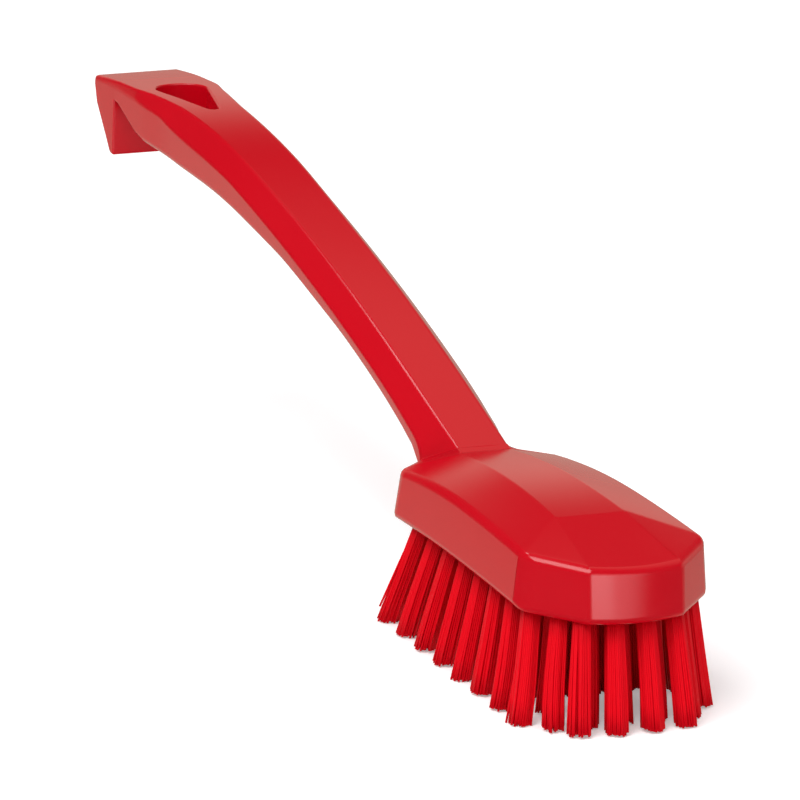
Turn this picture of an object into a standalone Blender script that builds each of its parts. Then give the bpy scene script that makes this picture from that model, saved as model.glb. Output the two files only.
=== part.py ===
"""A hand brush for scrubbing and washing up.

One moulding makes the block, the rising handle and the hook at its far end. Tufts of filament,
each folded over a small flat anchor, are driven into slanted blind holes under the block.

Lengths are in metres. The brush points along +X and stands on the tips of its bristles. While
the pieces are drawn, x is 0 on the block's front corner line, z is 0 on its underside, and a
place named back is a distance behind that front corner line.
"""
import math
import random

import bmesh
import bpy
from mathutils import Vector

# The block from above: a bowed front, two front chamfers, long sides and a tapered rear
CHAMFER_BACK = 0.0118
REAR_CORNER_BACK = 0.0822
NECK_BACK = 0.0906
FRONT_HALF_WIDTH = 0.0105
SHOULDER_HALF_WIDTH = 0.0215
REAR_HALF_WIDTH = 0.0196
FRONT_BOW = 0.0017
SIDE_DRAFT = 0.0011
FRONT_DRAFT = 0.0015
REAR_DRAFT = 0.0010
FRONT_STEPS = 8
BLOCK_STEPS = 8

# The block from the side: its rim, its underside and the strip along its middle are crowned
CROWN_BACK = 0.0455
RIM_CROWN_HEIGHT = 0.0128
RIM_REAR_HEIGHT = 0.0100
RIM_SHOULDER_HEIGHT = 0.0119
RIM_FRONT_HEIGHT = 0.0110
UNDERSIDE_CROWN_HEIGHT = 0.0003
UNDERSIDE_REAR_HEIGHT = -0.0007
UNDERSIDE_SHOULDER_HEIGHT = -0.0002
UNDERSIDE_FRONT_HEIGHT = -0.0008
STRIP_CROWN_HEIGHT = 0.0157
STRIP_FRONT_BACK = 0.0250
STRIP_FRONT_HEIGHT = 0.0149
STRIP_FRONT_HALF_WIDTH = 0.0077

# The handle's top line, from the crease where it leaves the block to its far end
CREASE_BACK = 0.0784
CREASE_HEIGHT = 0.0133
HANDLE_SLOPE = math.radians(17.8)
STRAIGHT_RUN = 0.0260
LONG_RUN = 0.0900
LONG_RADIUS = 0.7500
END_RUN = 0.0851
END_RADIUS = 0.2470

# The handle's section: a flat top, a bevel down to each side, a side wall and a lower chamfer
TOP_HALF_WIDTH = 0.0057
END_TOP_HALF_WIDTH = 0.0098
HANDLE_HALF_WIDTH = 0.0096
END_HALF_WIDTH = 0.0102
BEVEL_DEPTH = 0.0049
GRIP_DEPTH = 0.0115
HANDLE_DRAFT = 0.0005
LOWER_CHAMFER = 0.0006
HANDLE_STEPS = 24

# The neck, where the handle's bevels flare out and down into the rear of the block
NECK_BEVEL_DEPTH = 0.0085
NECK_SIDE_DEPTH = 0.0107
FLARE_RUN = 0.0020
FLARE_BEVEL_DEPTH = 0.0062
NECK_RUN = 0.0060

# The hook at the far end
HOOK_THICKNESS = 0.0120
HOOK_DROP = 0.01575
HOOK_ROOF_DEPTH = 0.0049
HOOK_ROOF_RUN = 0.0023
HOOK_MOUTH = 0.0120

# The hanging hole: a drop shape, wide at the rear, with its narrow end towards the block
HOLE_REAR_CENTRE_BACK = 0.2523
HOLE_REAR_RADIUS = 0.0060
HOLE_FRONT_CENTRE_BACK = 0.2345
HOLE_FRONT_RADIUS = 0.0019
HOLE_LIP = 0.0004
HOLE_ARC_STEPS = 10

# Rounded edges: how far each one reaches in from its sharp edge
CORNER_ROUND = 0.0026
SHOULDER_ROUND = 0.0032
FOOT_ROUND = 0.0012
RIM_ROUND = 0.0010
EDGE_ROUND = 0.0005
CREASE_ROUND = 0.0003
ROUND_STEPS = 2

# Tufts: where they stand under the block, and how they spread towards their tips
COLUMN_PITCH = 0.0069
COLUMNS = 4
ROWS = 8
SIDE_ROW_BACK = 0.0138
SIDE_ROW_PITCH = 0.0085
SIDE_ROW_WALL = 0.0040
INNER_ROW_BACK = 0.0177
INNER_ROW_PITCH = 0.0087
SECOND_ROW_BACK = 0.0093
SECOND_ROW_PITCH = 0.0066
SECOND_ROW_TUFTS = 5
FRONT_ROW_BACK = 0.0039
FRONT_CORNER_BACK = 0.0048
FRONT_CORNER_Y = 0.0102
SPREAD_CENTRE_BACK = 0.0460
SPREAD_ALONG = 1.20
SPREAD_ACROSS = 1.24

# One tuft: its strands below the block and the folded root inside its blind hole
BRISTLE_HEIGHT = 0.0221
TUFT_RADIUS = 0.00205
TIP_RADIUS = 0.0025
STRANDS = 8
STRAND_GAP = 0.00005
LONGEST_STRAY = 0.0008
FLAT_CUT = 0.0005
HOLE_DEPTH = 0.0080
HOLE_CLEARANCE = 0.0003
ROOT_SET_BACK = 0.0006
FOLD_HEIGHT = 0.0012
FOLD_WIDTH = 0.0012
OVERRUN = 0.0020

# Along the handle: share of its run, then share of the way from the neck's size to the end's
top_width_shares = (
    (0.00, 0.00), (0.46, 0.00), (0.58, 0.09), (0.68, 0.15), (0.77, 0.28), (0.80, 0.42),
    (0.83, 0.60), (0.85, 0.74), (0.88, 1.00), (1.00, 1.00),
)
side_width_shares = ((0.00, 0.00), (0.78, 0.00), (0.88, 1.00), (1.00, 1.00))
# Share of the run, then share of the greatest bevel depth or side depth
bevel_depth_shares = (
    (0.00, 1.05), (0.09, 1.05), (0.12, 0.96), (0.19, 0.89), (0.60, 0.89), (0.66, 0.96),
    (0.73, 1.00), (0.78, 0.86), (0.81, 0.65), (0.85, 0.59), (0.90, 0.46), (0.94, 0.32), (1.00, 0.12),
)
side_depth_shares = (
    (0.00, 0.80), (0.09, 0.76), (0.12, 0.70), (0.18, 0.64), (0.28, 0.62), (0.36, 0.66),
    (0.46, 0.70), (0.51, 0.76), (0.57, 0.83), (0.65, 0.91), (0.72, 0.98), (0.77, 1.00),
    (0.86, 0.94), (0.88, 0.88),
)
# The hook's outer face and lip: share of its thickness, of its drop, and of the top above it
hook_outer_shares = (
    (0.00, 0.10, 0.00), (0.15, 0.40, 0.22), (0.69, 0.85, 0.44), (0.86, 1.00, 0.60), (1.00, 1.00, 0.75),
)
# The neck's top edge: share of the way from the crease back to the neck, at its two sections
neck_top_shares = (0.75, 0.40)

RED = (0.60, 0.004, 0.012, 1.0)
FILAMENT_RED = (0.50, 0.003, 0.008, 1.0)
PLASTIC_ROUGHNESS = 0.25
FILAMENT_ROUGHNESS = 0.40


def clear_scene():
    for item in list(bpy.data.objects):
        bpy.data.objects.remove(item, do_unlink=True)


def dyed_plastic(name, colour, roughness):
    material = bpy.data.materials.new(name)
    material.use_nodes = True
    shader = material.node_tree.nodes["Principled BSDF"]
    shader.inputs["Base Color"].default_value = colour
    shader.inputs["Roughness"].default_value = roughness
    shader.inputs["Metallic"].default_value = 0.0
    return material


def mix(start, end, part):
    return start + (end - start) * part


def read_shares(knots, share):
    """Read a list of knots at any share, with straight runs between them."""
    for (start, low), (end, high) in zip(knots, knots[1:]):
        if share <= end:
            return mix(low, high, max(0.0, (share - start) / (end - start)))
    return knots[-1][1]


def add_object(name, mesh_data, material=None):
    """Close off a bmesh as an object of its own."""
    bmesh.ops.recalc_face_normals(mesh_data, faces=mesh_data.faces)
    mesh = bpy.data.meshes.new(name)
    mesh_data.to_mesh(mesh)
    mesh_data.free()
    if material:
        mesh.materials.append(material)
    item = bpy.data.objects.new(name, mesh)
    bpy.context.collection.objects.link(item)
    return item


def skin(mesh_data, rings):
    """Skin a closed tube over rings of points and return its two end faces."""
    loops = [[mesh_data.verts.new(point) for point in ring] for ring in rings]
    for loop, following in zip(loops, loops[1:]):
        for index, vert in enumerate(loop):
            other = (index + 1) % len(loop)
            mesh_data.faces.new((vert, loop[other], following[other], following[index]))
    return mesh_data.faces.new(loops[0]), mesh_data.faces.new(loops[-1])


# The block's outline and heights

def block_half_width(back):
    part = (back - CHAMFER_BACK) / (REAR_CORNER_BACK - CHAMFER_BACK)
    return mix(SHOULDER_HALF_WIDTH, REAR_HALF_WIDTH, part)


def crowned(back, crown, rear_back, rear, front_back, front):
    """Height of a line that falls away as a square on both sides of its crown."""
    end_back, end = (rear_back, rear) if back > CROWN_BACK else (front_back, front)
    part = (back - CROWN_BACK) / (end_back - CROWN_BACK)
    return crown - (crown - end) * part ** 2


def rim_height(back):
    return crowned(back, RIM_CROWN_HEIGHT, REAR_CORNER_BACK, RIM_REAR_HEIGHT,
                   CHAMFER_BACK, RIM_SHOULDER_HEIGHT)


def underside_height(back):
    return crowned(back, UNDERSIDE_CROWN_HEIGHT, REAR_CORNER_BACK, UNDERSIDE_REAR_HEIGHT,
                   CHAMFER_BACK, UNDERSIDE_SHOULDER_HEIGHT)


def strip_height(back):
    return crowned(back, STRIP_CROWN_HEIGHT, CREASE_BACK, CREASE_HEIGHT,
                   STRIP_FRONT_BACK, STRIP_FRONT_HEIGHT)


# The handle's lines

def far_end_back():
    return CREASE_BACK + STRAIGHT_RUN + LONG_RUN + END_RUN


def handle_share(back):
    return (back - CREASE_BACK) / (far_end_back() - CREASE_BACK)


def top_line(back):
    """Height of the handle's top: a straight rise, a long shallow arc and a tighter end arc."""
    run = back - CREASE_BACK
    height = CREASE_HEIGHT + min(run, STRAIGHT_RUN) * math.tan(HANDLE_SLOPE)
    run -= STRAIGHT_RUN
    sine = math.sin(HANDLE_SLOPE)
    for length, radius in ((LONG_RUN, LONG_RADIUS), (END_RUN, END_RADIUS)):
        next_sine = sine - min(max(run, 0.0), length) / radius
        height += radius * (math.sqrt(1 - next_sine ** 2) - math.sqrt(1 - sine ** 2))
        sine = next_sine
        run -= length
    return height


def top_half_width(back):
    return mix(TOP_HALF_WIDTH, END_TOP_HALF_WIDTH, read_shares(top_width_shares, handle_share(back)))


def side_half_width(back):
    return mix(HANDLE_HALF_WIDTH, END_HALF_WIDTH, read_shares(side_width_shares, handle_share(back)))


def bevel_height(back):
    return top_line(back) - BEVEL_DEPTH * read_shares(bevel_depth_shares, handle_share(back))


def side_height(back):
    return top_line(back) - GRIP_DEPTH * read_shares(side_depth_shares, handle_share(back))


# Sections of the moulding: the first four corners are one side, the others its mirror image

UNDERSIDE, FOOT, SHOULDER, TOP, FAR_TOP, FAR_SHOULDER, FAR_FOOT, FAR_UNDERSIDE = range(8)


def section(underside, foot, shoulder, top_edge):
    """Four points of one side, each given as back, half width and height."""
    corners = (underside, foot, shoulder, top_edge)
    return [Vector((-back, half, height)) for back, half, height in corners]


def top_corner(back):
    return back, top_half_width(back), top_line(back)


def bevel_corner(back):
    return back, side_half_width(back), bevel_height(back)


def hook_sections():
    """From the far end down the outer face, round the lip and up its inner face."""
    end = far_end_back()
    inner = END_HALF_WIDTH - LOWER_CHAMFER
    sections = []
    for thickness_share, drop_share, top_share in hook_outer_shares:
        low_back = end - thickness_share * HOOK_THICKNESS
        low = top_line(end) - drop_share * HOOK_DROP
        back = end - top_share * HOOK_THICKNESS
        sections.append(section((low_back, inner, low), (low_back, END_HALF_WIDTH, low),
                                bevel_corner(back), top_corner(back)))
    face_back = end - HOOK_THICKNESS
    roof = top_line(face_back) - HOOK_ROOF_DEPTH
    for back in (face_back, face_back - HOOK_ROOF_RUN):
        sections.append(section((back, inner, roof), (back, END_HALF_WIDTH, roof),
                                bevel_corner(back), top_corner(back)))
    return sections


def handle_sections():
    """From the mouth of the hook to the neck."""
    sections = []
    mouth = far_end_back() - HOOK_THICKNESS - HOOK_MOUTH
    for index in range(HANDLE_STEPS + 1):
        back = mix(mouth, NECK_BACK + NECK_RUN, index / HANDLE_STEPS)
        half = side_half_width(back) - HANDLE_DRAFT
        foot = side_height(back)
        sections.append(section((back, half - LOWER_CHAMFER, foot - LOWER_CHAMFER), (back, half, foot),
                                bevel_corner(back), top_corner(back)))
    return sections


def neck_sections():
    """Where the handle's underside meets the block's rear wall, then that wall's foot."""
    inner = HANDLE_HALF_WIDTH - LOWER_CHAMFER
    foot = top_line(NECK_BACK) - NECK_SIDE_DEPTH
    flare_back = NECK_BACK + FLARE_RUN
    upper_back, lower_back = [mix(CREASE_BACK, NECK_BACK, share) for share in neck_top_shares]
    upper = section((NECK_BACK, inner, foot - LOWER_CHAMFER), (NECK_BACK, HANDLE_HALF_WIDTH, foot),
                    (flare_back, HANDLE_HALF_WIDTH, top_line(flare_back) - FLARE_BEVEL_DEPTH),
                    top_corner(upper_back))
    under = underside_height(NECK_BACK)
    lower = section((NECK_BACK, inner, under), (NECK_BACK, HANDLE_HALF_WIDTH, under),
                    (NECK_BACK, HANDLE_HALF_WIDTH, top_line(NECK_BACK) - NECK_BEVEL_DEPTH),
                    top_corner(lower_back))
    return [upper, lower]


def block_sections():
    """From the block's rear corners to its front shoulders."""
    inner = HANDLE_HALF_WIDTH - LOWER_CHAMFER
    sections = []
    for index in range(BLOCK_STEPS + 1):
        part = index / BLOCK_STEPS
        back = mix(REAR_CORNER_BACK, CHAMFER_BACK, part)
        half = block_half_width(back)
        strip_back = mix(CREASE_BACK, STRIP_FRONT_BACK, part)
        strip_half = mix(TOP_HALF_WIDTH, STRIP_FRONT_HALF_WIDTH, part)
        rim_back = back - mix(REAR_DRAFT, 0.0, part)
        under = underside_height(back)
        sections.append(section((back, inner, under), (back, half, under),
                                (rim_back, half - SIDE_DRAFT, rim_height(back)),
                                (strip_back, strip_half, strip_height(strip_back))))
    return sections


def front_edges():
    """The foot and the rim of the bowed front wall, from one front corner to the other."""
    fall = (RIM_FRONT_HEIGHT - STRIP_FRONT_HEIGHT) / (STRIP_FRONT_BACK - FRONT_DRAFT)
    dip = (UNDERSIDE_FRONT_HEIGHT - UNDERSIDE_SHOULDER_HEIGHT) / CHAMFER_BACK
    foot = []
    rim = []
    for index in range(FRONT_STEPS + 1):
        across = mix(1.0, -1.0, index / FRONT_STEPS)
        reach = FRONT_BOW * (1 - across ** 2)
        height = STRIP_FRONT_HEIGHT + fall * (STRIP_FRONT_BACK - FRONT_DRAFT + reach)
        foot.append(Vector((reach, across * FRONT_HALF_WIDTH, UNDERSIDE_FRONT_HEIGHT + dip * reach)))
        rim.append(Vector((reach - FRONT_DRAFT, across * FRONT_HALF_WIDTH, height)))
    return foot, rim


def moulding():
    """The block, handle and hook as one closed skin, and how far each edge is rounded."""
    mesh_data = bmesh.new()
    rounds = {}
    block_rounds = {FOOT: FOOT_ROUND, FAR_FOOT: FOOT_ROUND, SHOULDER: RIM_ROUND, FAR_SHOULDER: RIM_ROUND,
                    TOP: CREASE_ROUND, FAR_TOP: CREASE_ROUND}
    hook = hook_sections()
    handle = handle_sections()
    neck = neck_sections()
    block = block_sections()
    loops = []
    for side in hook + handle + neck + block:
        right = [mesh_data.verts.new(point) for point in side]
        left = [mesh_data.verts.new((point.x, -point.y, point.z)) for point in reversed(side)]
        loops.append(right + left)
    neck_at = len(hook) + len(handle)
    block_at = neck_at + len(neck)
    for place, (loop, following) in enumerate(zip(loops, loops[1:])):
        for index, vert in enumerate(loop):
            other = (index + 1) % len(loop)
            corners = [vert, loop[other], following[other], following[index]]
            if index in (FOOT, FAR_SHOULDER):
                wall_corner = FOOT if index == FOOT else FAR_FOOT
                if place == neck_at:
                    corners.remove(following[wall_corner])
                if place == neck_at + 1:
                    corners.insert(1, loops[neck_at][wall_corner])
            mesh_data.faces.new(corners)
            if place < neck_at - 1 and index not in (UNDERSIDE, FAR_UNDERSIDE):
                rounds[vert, following[index]] = EDGE_ROUND
            if place >= block_at and index in block_rounds:
                rounds[vert, following[index]] = block_rounds[index]
    mesh_data.faces.new(loops[0])
    for index, vert in enumerate(loops[0]):
        rounds[vert, loops[0][index - 1]] = EDGE_ROUND
    for lip in loops[len(hook_outer_shares) - 2:len(hook_outer_shares)]:
        for near, far in ((UNDERSIDE, FOOT), (UNDERSIDE, FAR_UNDERSIDE), (FAR_UNDERSIDE, FAR_FOOT)):
            rounds[lip[near], lip[far]] = EDGE_ROUND
    close_front(mesh_data, loops[-1], rounds)
    rear = loops[block_at]
    rounds[rear[FOOT], rear[SHOULDER]] = CORNER_ROUND
    rounds[rear[FAR_FOOT], rear[FAR_SHOULDER]] = CORNER_ROUND
    return mesh_data, rounds


def close_front(mesh_data, shoulders, rounds):
    """Join the two front corners to the shoulders and close the top facet and the underside."""
    foot, rim = [[mesh_data.verts.new(point) for point in edge] for edge in front_edges()]
    under, low, high, crease = shoulders[:4]
    far_crease, far_high, far_low, far_under = shoulders[4:]
    mesh_data.faces.new((crease, high, rim[0]))
    mesh_data.faces.new((far_crease, rim[-1], far_high))
    mesh_data.faces.new([crease] + rim + [far_crease])
    mesh_data.faces.new([under, low] + foot + [far_low, far_under])
    rims = [high] + rim + [far_high]
    feet = [low] + foot + [far_low]
    for index in range(len(rims) - 1):
        mesh_data.faces.new((rims[index], feet[index], feet[index + 1], rims[index + 1]))
        rounds[rims[index], rims[index + 1]] = RIM_ROUND
        rounds[feet[index], feet[index + 1]] = FOOT_ROUND
    for near, far, reach in (
        (crease, far_crease, CREASE_ROUND), (crease, rim[0], CREASE_ROUND), (far_crease, rim[-1], CREASE_ROUND),
        (low, high, SHOULDER_ROUND), (far_low, far_high, SHOULDER_ROUND),
        (foot[0], rim[0], EDGE_ROUND), (foot[-1], rim[-1], EDGE_ROUND),
    ):
        rounds[near, far] = reach


def build_body(material, cutters):
    mesh_data, rounds = moulding()
    weights = mesh_data.edges.layers.float.new("bevel_weight_edge")
    for ends, reach in rounds.items():
        mesh_data.edges.get(ends)[weights] = reach / SHOULDER_ROUND
    body = add_object("brush_body", mesh_data, material)
    rounding = body.modifiers.new("rounding", "BEVEL")
    rounding.limit_method = "WEIGHT"
    rounding.width = SHOULDER_ROUND
    rounding.segments = ROUND_STEPS
    rounding.use_clamp_overlap = False
    for cutter in cutters:
        cut = body.modifiers.new(cutter.name, "BOOLEAN")
        cut.operation = "DIFFERENCE"
        cut.object = cutter
    return body


# The hanging hole

def drop_outline():
    """Two arcs joined by their common tangents, seen from above."""
    length = HOLE_REAR_CENTRE_BACK - HOLE_FRONT_CENTRE_BACK
    touch = math.acos((HOLE_REAR_RADIUS - HOLE_FRONT_RADIUS) / length)
    points = []
    for centre_back, radius, first, last in (
        (HOLE_REAR_CENTRE_BACK, HOLE_REAR_RADIUS, touch, math.tau - touch),
        (HOLE_FRONT_CENTRE_BACK, HOLE_FRONT_RADIUS, -touch, touch),
    ):
        centre = Vector((-centre_back, 0.0))
        for step in range(HOLE_ARC_STEPS + 1):
            angle = mix(first, last, step / HOLE_ARC_STEPS)
            points.append(centre + Vector((math.cos(angle), math.sin(angle))) * radius)
    return points


def hanging_hole_cutter():
    """The drop shape, following the handle's top and widening into a lip there."""
    outline = drop_outline()
    middle = sum(outline, Vector((0, 0))) / len(outline)
    below = GRIP_DEPTH + LOWER_CHAMFER + OVERRUN
    rings = []
    for depth, growth in ((-OVERRUN, HOLE_LIP + OVERRUN), (HOLE_LIP, 0.0), (below, 0.0)):
        ring = []
        for point in outline:
            wide = point + (point - middle).normalized() * growth
            ring.append((wide.x, wide.y, top_line(-point.x) - depth))
        rings.append(ring)
    mesh_data = bmesh.new()
    skin(mesh_data, rings)
    return add_object("hanging_hole_cutter", mesh_data)


# The tufts and their holes

def tuft_roots():
    """Back and y of each tuft where it leaves the block, from the front row to the rear."""
    roots = []
    for side in (1, -1):
        roots.append((FRONT_ROW_BACK, side * COLUMN_PITCH / 2))
        roots.append((FRONT_CORNER_BACK, side * FRONT_CORNER_Y))
    for index in range(SECOND_ROW_TUFTS):
        roots.append((SECOND_ROW_BACK, (index - (SECOND_ROW_TUFTS - 1) / 2) * SECOND_ROW_PITCH))
    for row in range(ROWS):
        side_back = SIDE_ROW_BACK + row * SIDE_ROW_PITCH
        inner_back = INNER_ROW_BACK + row * INNER_ROW_PITCH
        for side in (1, -1):
            roots.append((side_back, side * (block_half_width(side_back) - SIDE_ROW_WALL)))
        for column in range(COLUMNS):
            roots.append((inner_back, (column - (COLUMNS - 1) / 2) * COLUMN_PITCH))
    for side in (1, -1):
        roots.append((INNER_ROW_BACK + ROWS * INNER_ROW_PITCH, side * COLUMN_PITCH / 2))
    return roots


def tuft_axis(back, y):
    """A tuft's root on the underside, and how far its axis leans for each unit of height."""
    root = Vector((-back, y, 0.0))
    tip_back = mix(SPREAD_CENTRE_BACK, back, SPREAD_ALONG)
    tip = Vector((-tip_back, SPREAD_ACROSS * y, -BRISTLE_HEIGHT))
    return root, (root - tip) / BRISTLE_HEIGHT


def tuft_ring(root, lean, height, radius, narrow=1.0):
    centre = root + lean * height
    ring = []
    for index in range(STRANDS):
        angle = math.tau * (index + 0.5) / STRANDS
        ring.append(centre + Vector((radius * narrow * math.cos(angle), radius * math.sin(angle), 0.0)))
    return ring


def tuft_hole_cutter(roots):
    """One slanted prism for each blind hole, all in one cutter."""
    mesh_data = bmesh.new()
    radius = TUFT_RADIUS + HOLE_CLEARANCE
    for back, y in roots:
        root, lean = tuft_axis(back, y)
        skin(mesh_data, [tuft_ring(root, lean, height, radius) for height in (-OVERRUN, HOLE_DEPTH)])
    return add_object("tuft_hole_cutter", mesh_data)


def build_tuft(name, back, y, lengths, material):
    """A bundle of strands fused to the folded root that holds it in its hole."""
    root, lean = tuft_axis(back, y)
    fold_top = HOLE_DEPTH - HOLE_CLEARANCE
    mesh_data = bmesh.new()
    bundle, fold = skin(mesh_data, [
        tuft_ring(root, lean, ROOT_SET_BACK, TUFT_RADIUS),
        tuft_ring(root, lean, fold_top - FOLD_HEIGHT, TUFT_RADIUS),
        tuft_ring(root, lean, fold_top, TUFT_RADIUS, FOLD_WIDTH / (2 * TUFT_RADIUS)),
    ])
    strands = bmesh.ops.poke(mesh_data, faces=[bundle])["faces"]
    bmesh.ops.inset_individual(mesh_data, faces=strands, thickness=STRAND_GAP)
    strands = bmesh.ops.extrude_discrete_faces(mesh_data, faces=strands)["faces"]
    start = root + lean * ROOT_SET_BACK
    tip = root - lean * BRISTLE_HEIGHT
    for strand in strands:
        middle = strand.calc_center_median()
        spread = (middle - start) * TIP_RADIUS / TUFT_RADIUS
        shorter = max(0.0, lengths.uniform(-FLAT_CUT, LONGEST_STRAY))
        for vert in strand.verts:
            vert.co = tip + spread + (vert.co - middle)
            vert.co.z = tip.z + shorter
    return add_object(name, mesh_data, material)


def stand_on_floor(pieces):
    """Hang every piece on one empty, so that the brush stands on the floor, centred on it."""
    places = [vert.co.x for piece in pieces for vert in piece.data.vertices]
    origin = bpy.data.objects.new("brush_origin", None)
    bpy.context.collection.objects.link(origin)
    origin.location = (-(max(places) + min(places)) / 2, 0.0, BRISTLE_HEIGHT)
    for piece in pieces:
        piece.parent = origin


def main():
    clear_scene()
    moulded = dyed_plastic("moulded_plastic", RED, PLASTIC_ROUGHNESS)
    filament = dyed_plastic("filament", FILAMENT_RED, FILAMENT_ROUGHNESS)
    roots = tuft_roots()
    cutters = [hanging_hole_cutter(), tuft_hole_cutter(roots)]
    for cutter in cutters:
        cutter.hide_render = True
        cutter.display_type = "WIRE"
    pieces = [build_body(moulded, cutters)]
    lengths = random.Random(7)
    for number, (back, y) in enumerate(roots, start=1):
        pieces.append(build_tuft(f"tuft_{number:02d}", back, y, lengths, filament))
    stand_on_floor(pieces + cutters)


main()
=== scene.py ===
"""The hand brush as it looks: its moulding and its finish, every filament of its tufts, and a studio.

Lengths are in metres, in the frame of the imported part. A place named back is a distance behind the
front corner line of the block, and a height counts from the block's underside.
"""
import math
import random

import bmesh
import bpy
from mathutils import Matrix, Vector


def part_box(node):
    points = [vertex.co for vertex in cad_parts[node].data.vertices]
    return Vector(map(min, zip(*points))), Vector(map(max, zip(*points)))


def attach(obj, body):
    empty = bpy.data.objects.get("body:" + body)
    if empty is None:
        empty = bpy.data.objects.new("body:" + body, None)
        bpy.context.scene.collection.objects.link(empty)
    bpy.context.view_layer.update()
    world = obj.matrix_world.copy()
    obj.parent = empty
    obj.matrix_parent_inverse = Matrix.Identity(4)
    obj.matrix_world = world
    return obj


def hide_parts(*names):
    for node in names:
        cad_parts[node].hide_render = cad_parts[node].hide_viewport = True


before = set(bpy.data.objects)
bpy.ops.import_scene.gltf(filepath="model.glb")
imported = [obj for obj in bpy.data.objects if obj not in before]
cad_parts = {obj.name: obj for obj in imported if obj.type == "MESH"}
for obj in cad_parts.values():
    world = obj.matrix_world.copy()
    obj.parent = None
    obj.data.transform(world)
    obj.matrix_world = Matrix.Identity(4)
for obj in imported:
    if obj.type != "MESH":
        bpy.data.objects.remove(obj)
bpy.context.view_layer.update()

# The moulding: its shape.
# Block, handle and hook are one shot of dyed polypropylene. Flat facets meet at small mould rounds,
# and the handle is lofted along a top line of one straight stretch and two arcs.

# The block: its corners in plan, then its rim, its underside and the strip along its top
CHAMFER_BACK = 0.0118
REAR_CORNER_BACK = 0.0822
NECK_BACK = 0.0906
FRONT_HALF_WIDTH = 0.0105
SHOULDER_HALF_WIDTH = 0.0215
REAR_HALF_WIDTH = 0.0196
FRONT_BOW = 0.0017
SIDE_DRAFT = 0.0011
FRONT_DRAFT = 0.0015
REAR_DRAFT = 0.0010
CROWN_BACK = 0.0455
RIM_CROWN_HEIGHT = 0.0128
RIM_REAR_HEIGHT = 0.0100
RIM_SHOULDER_HEIGHT = 0.0119
RIM_FRONT_HEIGHT = 0.0110
UNDERSIDE_CROWN_HEIGHT = 0.0003
UNDERSIDE_REAR_HEIGHT = -0.0007
UNDERSIDE_SHOULDER_HEIGHT = -0.0002
UNDERSIDE_FRONT_HEIGHT = -0.0008
STRIP_CROWN_HEIGHT = 0.0157
STRIP_FRONT_BACK = 0.0250
STRIP_FRONT_HEIGHT = 0.0149
STRIP_FRONT_HALF_WIDTH = 0.0077

# The line of the handle's top, from its crease with the block to its far end
CREASE_BACK = 0.0784
CREASE_HEIGHT = 0.0133
HANDLE_SLOPE = math.radians(17.8)
STRAIGHT_RUN = 0.0260
LONG_RUN = 0.0900
LONG_RADIUS = 0.7500
END_RUN = 0.0851
END_RADIUS = 0.2470
FAR_END_BACK = CREASE_BACK + STRAIGHT_RUN + LONG_RUN + END_RUN

# The section of the handle, and of its neck at the block's rear wall
TOP_HALF_WIDTH = 0.0057
END_TOP_HALF_WIDTH = 0.0098
HANDLE_HALF_WIDTH = 0.0096
END_HALF_WIDTH = 0.0102
BEVEL_DEPTH = 0.0049
GRIP_DEPTH = 0.0115
HANDLE_DRAFT = 0.0005
LOWER_CHAMFER = 0.0006
NECK_BEVEL_DEPTH = 0.0085
NECK_SIDE_DEPTH = 0.0107
NECK_RUN = 0.0060
NECK_TOP_SHARE = 0.16

# The hook
HOOK_THICKNESS = 0.0120
HOOK_DROP = 0.01575
HOOK_ROOF_DEPTH = 0.0049
HOOK_ROOF_RUN = 0.0023
HOOK_MOUTH = 0.0120

# The mould's rounds, and the number of sections in each stretch
CORNER_ROUND = 0.0026
SHOULDER_ROUND = 0.0032
FOOT_ROUND = 0.0018
RIM_ROUND = 0.0015
EDGE_ROUND = 0.0006
CREASE_ROUND = 0.0003
HANDLE_STATIONS = 80
NECK_STATIONS = 6
BLOCK_STATIONS = 24
FRONT_STATIONS = 24

# Along the handle from the crease to its far end: a share of its length, then of the size that is named
top_width_shares = (
    (0.00, 0.00), (0.46, 0.00), (0.58, 0.09), (0.68, 0.15), (0.77, 0.28), (0.80, 0.42),
    (0.83, 0.60), (0.85, 0.74), (0.88, 1.00), (1.00, 1.00),
)
side_width_shares = ((0.00, 0.00), (0.78, 0.00), (0.88, 1.00), (1.00, 1.00))
bevel_depth_shares = (
    (0.00, 1.05), (0.09, 1.05), (0.12, 0.96), (0.19, 0.89), (0.60, 0.89), (0.66, 0.96),
    (0.73, 1.00), (0.78, 0.86), (0.81, 0.65), (0.85, 0.59), (0.90, 0.46), (0.94, 0.32), (1.00, 0.12),
)
side_depth_shares = (
    (0.00, 0.80), (0.09, 0.76), (0.12, 0.70), (0.18, 0.64), (0.28, 0.62), (0.36, 0.66),
    (0.46, 0.70), (0.51, 0.76), (0.57, 0.83), (0.65, 0.91), (0.72, 0.98), (0.77, 1.00),
    (0.86, 0.94), (0.88, 0.88), (1.00, 0.88),
)
# Down the hook's outer face: shares of its thickness and drop, then of its thickness at the top
hook_outer_shares = (
    (0.00, 0.10, 0.00), (0.15, 0.40, 0.22), (0.69, 0.85, 0.44), (0.86, 1.00, 0.60), (1.00, 1.00, 0.75),
)

BRISTLE_HEIGHT = 0.0221
FRONT_LINE_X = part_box("brush_body")[0][0] + FAR_END_BACK

# The corners of a section, in order round it from the near side
CORNERS = range(8)
UNDERSIDE, FOOT, SHOULDER, TOP, FAR_TOP, FAR_SHOULDER, FAR_FOOT, FAR_UNDERSIDE = CORNERS


def mix(start, end, part):
    return start + (end - start) * part


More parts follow.
